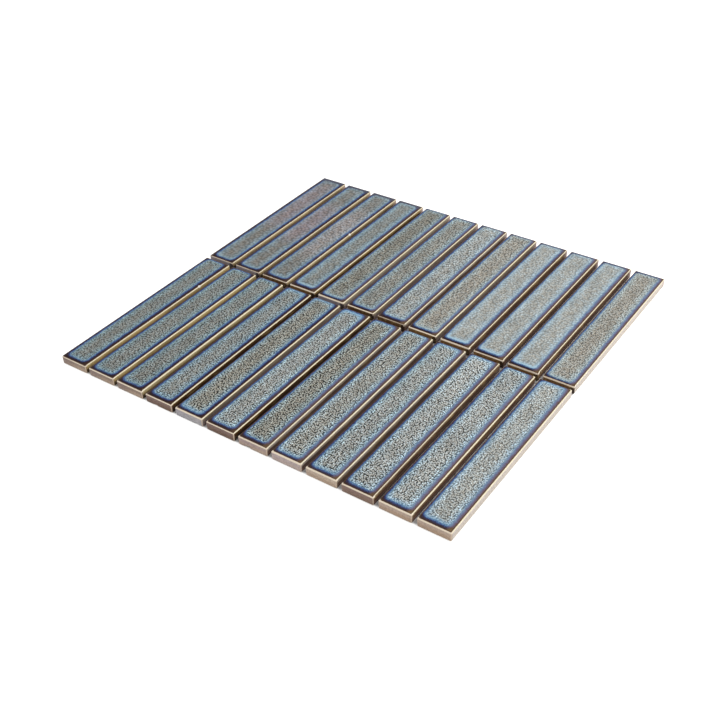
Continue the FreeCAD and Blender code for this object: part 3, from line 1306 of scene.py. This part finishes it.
def front_firings() -> tuple[Firing, ...]:
    """The front row as it was fired, from the left.

    Returns:
        One firing a tile.
    """
    t, s = Tone, Side
    return (
        Firing(t.SLATE, s.GOLDEN, s.BEIGE, Inset(3.3, 4.05, 3.6, 1.9), Ivory(0.5, 0.72, 0.35, 0.9),
               grain=0.62, fineness=0.85, glow=0.12, highlight_spot=39.4),
        Firing(t.SLATE, s.GOLDEN, s.BEIGE, Inset(2.65, 3.5, 3.45, 2.25), Ivory(0.65, 0.65, 0.6, 0.75),
               grain=0.75, fineness=0.9, glow=0.12),
        Firing(t.SLATE, s.BRASS, s.BEIGE, Inset(2.5, 4.0, 4.0, 1.65), Ivory(0.92, 0.56, 0.68, 0.75),
               grain=0.8, fineness=0.9, glow=0.12, back_glow=0.1, drift=0.05),
        Firing(t.GREY, s.AMBER, s.TAUPE, Inset(2.85, 4.05, 4.1, 1.45), Ivory(0.92, 0.45, 0.7, 0.6),
               grain=0.85, fineness=0.95, glow=0.12, back_glow=0.3),
        Firing(t.BROWN, s.SMOKE, s.PEARL, Inset(1.7, 3.9, 3.55, 1.35), Ivory(0.78, 0.54, 0.9, 0.7),
               grain=1.1, fineness=0.95, glow=0.5, back_glow=0.3),
        Firing(t.PALE, s.AMBER, s.TAUPE, Inset(2.25, 4.1, 4.2, 2.1), Ivory(0.84, 0.5, 0.76, 0.5),
               grain=0.95, fineness=1.0, glow=0.15, rim_sheen=0.3, back_glow=0.7, pinhole=(0.3, 57.8)),
        Firing(t.BROWN, s.DUSK, s.MAUVE, Inset(2.1, 4.0, 4.2, 2.2), Ivory(0.85, 0.38, 0.82, 0.65),
               grain=1.25, fineness=0.97, glow=0.1, rim_sheen=0.7, back_glow=0.3),
        Firing(t.FLINT, s.DUSK, s.ROSE, Inset(1.9, 4.0, 3.7, 0.9), Ivory(0.95, 0.42, 1.12, 0.7),
               grain=1.08, fineness=1.0, glow=0.3, rim_sheen=0.7, back_glow=0.3),
        Firing(t.PALE, s.DUSK, s.SAND, Inset(2.4, 3.7, 3.8, 1.6), Ivory(0.92, 0.4, 1.0, 0.7),
               grain=1.0, fineness=1.0, glow=0.35, rim_sheen=0.85, back_glow=0.3, drift=0.06),
        Firing(t.BRIGHT, s.UMBER, s.FAWN, Inset(2.05, 3.9, 3.9, 1.4), Ivory(0.98, 0.26, 0.85, 0.65),
               grain=0.95, fineness=1.0, glow=0.2, rim_sheen=0.75, back_glow=0.3, drift=0.12),
        Firing(t.BRIGHT, s.UMBER, s.CLAY, Inset(2.25, 3.9, 4.2, 1.15), Ivory(0.96, 0.44, 1.0, 0.65),
               grain=0.86, fineness=1.0, glow=0.4, rim_sheen=1.0, back_glow=0.15),
        Firing(t.CHALK, s.PALE, s.CLAY, Inset(2.05, 3.9, 4.1, 1.4), Ivory(0.85, 0.55, 0.9, 0.65),
               grain=0.67, fineness=1.0, glow=0.5, rim_sheen=0.95, back_glow=0.3),
    )


def back_firings() -> tuple[Firing, ...]:
    """The back row as it was fired, from the left.

    Returns:
        One firing a tile.
    """
    t, s = Tone, Side
    milky = tint(180, 170, 171)
    return (
        Firing(t.MIST, s.STRAW, s.ASHEN, Inset(3.8, 3.3, 3.05, 3.8), Ivory(0.4, 0.8, 0.35, 0.65),
               grain=0.28, fineness=0.45, glow=0.2, dull=1.0, reflection=Lustre(8.0, 85.0)),
        Firing(t.MIST, s.STRAW, s.ASHEN, Inset(3.15, 3.6, 3.3, 3.5), Ivory(0.4, 0.8, 0.35, 0.65),
               grain=0.3, fineness=0.45, glow=0.2, dull=1.0, reflection=Lustre(35.0, 95.0)),
        Firing(t.MIST, s.STRAW, s.RUSSET, Inset(2.9, 3.4, 4.1, 3.5), Ivory(0.5, 0.74, 0.45, 0.6),
               grain=0.38, fineness=0.55, glow=0.2, rim_sheen=0.15, drift=0.05, dull=1.0,
               reflection=Lustre(30.0, 105.0, milky), highlight_spot=7.3),
        Firing(t.GREY, s.HONEY, s.COPPER, Inset(2.8, 4.0, 4.4, 3.1), Ivory(0.62, 0.6, 0.62, 0.85),
               grain=0.38, fineness=0.6, glow=0.6, rim_sheen=0.3, dull=1.0),
        Firing(t.BROWN, s.ASH, s.ASHEN, Inset(2.2, 3.6, 3.4, 1.6), Ivory(0.68, 0.57, 0.8, 0.9),
               grain=0.6, fineness=0.7, glow=0.4, rim_sheen=0.5, dull=0.4),
        Firing(t.STONE, s.SMOKE, s.RUSSET, Inset(2.5, 3.4, 4.1, 2.0), Ivory(0.68, 0.57, 0.88, 0.45),
               grain=0.6, fineness=0.75, glow=0.2, rim_sheen=0.6, drift=0.12, dull=0.6),
        Firing(t.BRIGHT, s.DUSK, s.RUSSET, Inset(2.6, 3.6, 4.5, 2.1), Ivory(0.7, 0.48, 0.6, 0.3),
               grain=0.55, fineness=0.75, glow=0.2, rim_sheen=0.65, drift=0.06, dull=0.7),
        Firing(t.WARM, s.SMOKE, s.COPPER, Inset(2.1, 3.4, 3.9, 2.1), Ivory(0.82, 0.5, 0.8, 0.6),
               grain=0.52, fineness=0.75, glow=0.25, rim_sheen=0.65, dull=0.7),
        Firing(t.CHALK, s.UMBER, s.COPPER, Inset(1.9, 3.7, 3.7, 2.2), Ivory(0.76, 0.38, 0.65, 1.05),
               grain=0.32, fineness=0.7, glow=1.0, rim_sheen=0.5, dull=0.7),
        Firing(t.CHALK, s.UMBER, s.COPPER, Inset(1.75, 3.8, 3.7, 2.3), Ivory(0.85, 0.38, 0.55, 0.75),
               grain=0.32, fineness=0.7, glow=0.8, rim_sheen=0.75, dull=0.7),
        Firing(t.CHALK, s.UMBER, s.COPPER, Inset(1.8, 3.9, 3.2, 2.5), Ivory(0.82, 0.38, 0.42, 1.25),
               grain=0.31, fineness=0.7, glow=1.0, rim_sheen=0.75, dull=0.7),
        Firing(t.WARM, s.PALE, s.RUSSET, Inset(1.85, 3.45, 2.4, 2.4), Ivory(0.66, 0.6, 0.45, 1.1),
               grain=0.6, fineness=0.95, glow=0.35, rim_sheen=0.8, dull=0.6),
    )


@dataclass(frozen=True)
class Lamp:
    """A square soft lamp that faces the sheet, in metres and watts."""

    name: str
    place: Triple
    side: float
    power: float

    def build(self) -> None:
        """Hangs the lamp."""
        light = bpy.data.lights.new(self.name, "AREA")
        light.size = self.side
        light.energy = self.power
        holder = bpy.data.objects.new(self.name, light)
        holder.location = self.place
        holder.rotation_euler = Vector(self.place).to_track_quat("Z", "Y").to_euler()
        bpy.context.scene.collection.objects.link(holder)


@dataclass
class Studio:
    """Floor, lamps, world and camera, in metres."""

    floor_radius: float = 2.4
    floor_sides: int = 96
    inner_ring: float = 0.6
    rim_height: float = 0.8
    curve: float = 0.9
    curve_steps: int = 14
    floor_colour: Colour = (0.86, 0.86, 0.86)
    floor_glow: float = 0.7
    floor_roughness: float = 0.9
    white: Colour = (1.0, 1.0, 1.0)
    ambient: float = 0.42
    lamps: tuple[Lamp, ...] = (
        Lamp("key_lamp", (0.75, 0.62, 0.85), 0.7, 10.0),
        Lamp("fill_lamp", (-0.6, -0.75, 0.8), 0.6, 2.5),
    )
    camera_place: Triple = (0.34770, -0.49683, 0.42384)
    camera_turn: Triple = (53.0238, 1.7881, 34.5097)
    lens: float = 53.8101
    sensor: float = 36.0

    def build_floor(self) -> bpy.types.Object:
        """Makes the pale floor, which curves up all round into a low backdrop.

        Returns:
            The floor.
        """
        flat = self.floor_radius - self.curve
        rows = [(self.inner_ring, 0.0), (flat, 0.0)]
        for step in range(1, self.curve_steps + 1):
            angle = math.pi / 2.0 * step / self.curve_steps
            rows.append((flat + self.curve * math.sin(angle), self.rim_height * (1.0 - math.cos(angle))))
        turns = [2.0 * math.pi * side / self.floor_sides for side in range(self.floor_sides)]
        shell = Shell()
        centre = shell.add([(0.0, 0.0, 0.0)])[0]
        rings = [
            shell.add([(radius * math.cos(turn), radius * math.sin(turn), height) for turn in turns])
            for radius, height in rows
        ]
        for side, a in enumerate(rings[0]):
            shell.faces.append((centre, a, rings[0][(side + 1) % self.floor_sides]))
        for inner, outer in zip(rings, rings[1:]):
            shell.bridge(inner, outer)
        floor = shell.piece("studio_floor", 180.0, self.floor_material())
        return floor

    def floor_material(self) -> Material:
        """Pale matt floor that looks white and keeps the object's shadow.

        Returns:
            The material.
        """
        graph = Graph("pale_floor")
        path = graph.node("LightPath")
        seen = graph.math("ADD", path.outputs["Is Camera Ray"], path.outputs["Is Glossy Ray"], clamp=True)
        seen = graph.math("ADD", seen, path.outputs["Is Transmission Ray"], clamp=True)
        place = graph.node("TexCoord").outputs["Object"]
        x, y, _ = graph.split(graph.vector("ABSOLUTE", place))
        past_side = graph.math("SUBTRACT", x, CAD_BOX[1].x)
        past_end = graph.math("SUBTRACT", y, CAD_BOX[1].y)
        clear = graph.rise(graph.most(past_side, past_end), -2.0 * MM, 0.0)
        glow = graph.times(graph.times(seen, clear), self.floor_glow)
        graph.feed(graph.shader, **{"Emission Color": self.white, "Emission Strength": glow})
        return graph.finish(self.floor_colour, self.floor_roughness, 0.0)

    def build_world(self) -> None:
        """Sets the even light from all round."""
        world = bpy.data.worlds.new("studio_world")
        bpy.context.scene.world = world
        world.use_nodes = True
        background = world.node_tree.nodes["Background"]
        background.inputs["Color"].default_value = (*self.white, 1.0)
        background.inputs["Strength"].default_value = self.ambient

    def build_camera(self) -> None:
        """Sets the camera at the photograph's place."""
        data = bpy.data.cameras.new("camera")
        data.sensor_width = self.sensor
        data.lens = self.lens
        camera = bpy.data.objects.new("camera", data)
        camera.location = self.camera_place
        camera.rotation_euler = Euler([math.radians(angle) for angle in self.camera_turn])
        bpy.context.scene.collection.objects.link(camera)
        bpy.context.scene.camera = camera

    def build(self) -> None:
        """Builds everything round the object."""
        self.build_floor()
        self.build_world()
        for lamp in self.lamps:
            lamp.build()
        self.build_camera()
        bpy.context.scene.view_settings.view_transform = "Standard"


def main() -> None:
    """Builds the studio, the tiles and the mesh."""
    logging.basicConfig(level=logging.INFO, format="%(name)s: %(message)s")
    Studio().build()
    LOG.info("studio ready")
    biscuit = BiscuitFinish().material()
    chips = {
        4: (Chip(-3.0, 1.6, 1.1, 0.5),),
        5: (Chip(6.0, 1.2, 0.9, 0.4),),
        7: (Chip(-4.0, 2.4, 1.6, 0.8),),
    }
    front = TileRow("front", front_firings(), 0, False, chips)
    back = TileRow("back", back_firings(), 20, True)
    for row in (front, back):
        for tile in row.build(biscuit):
            LOG.info("piece %s", tile.node)
    for piece in BackingMesh().build():
        LOG.info("piece %s", piece.name)


if __name__ == "__main__":
    main()
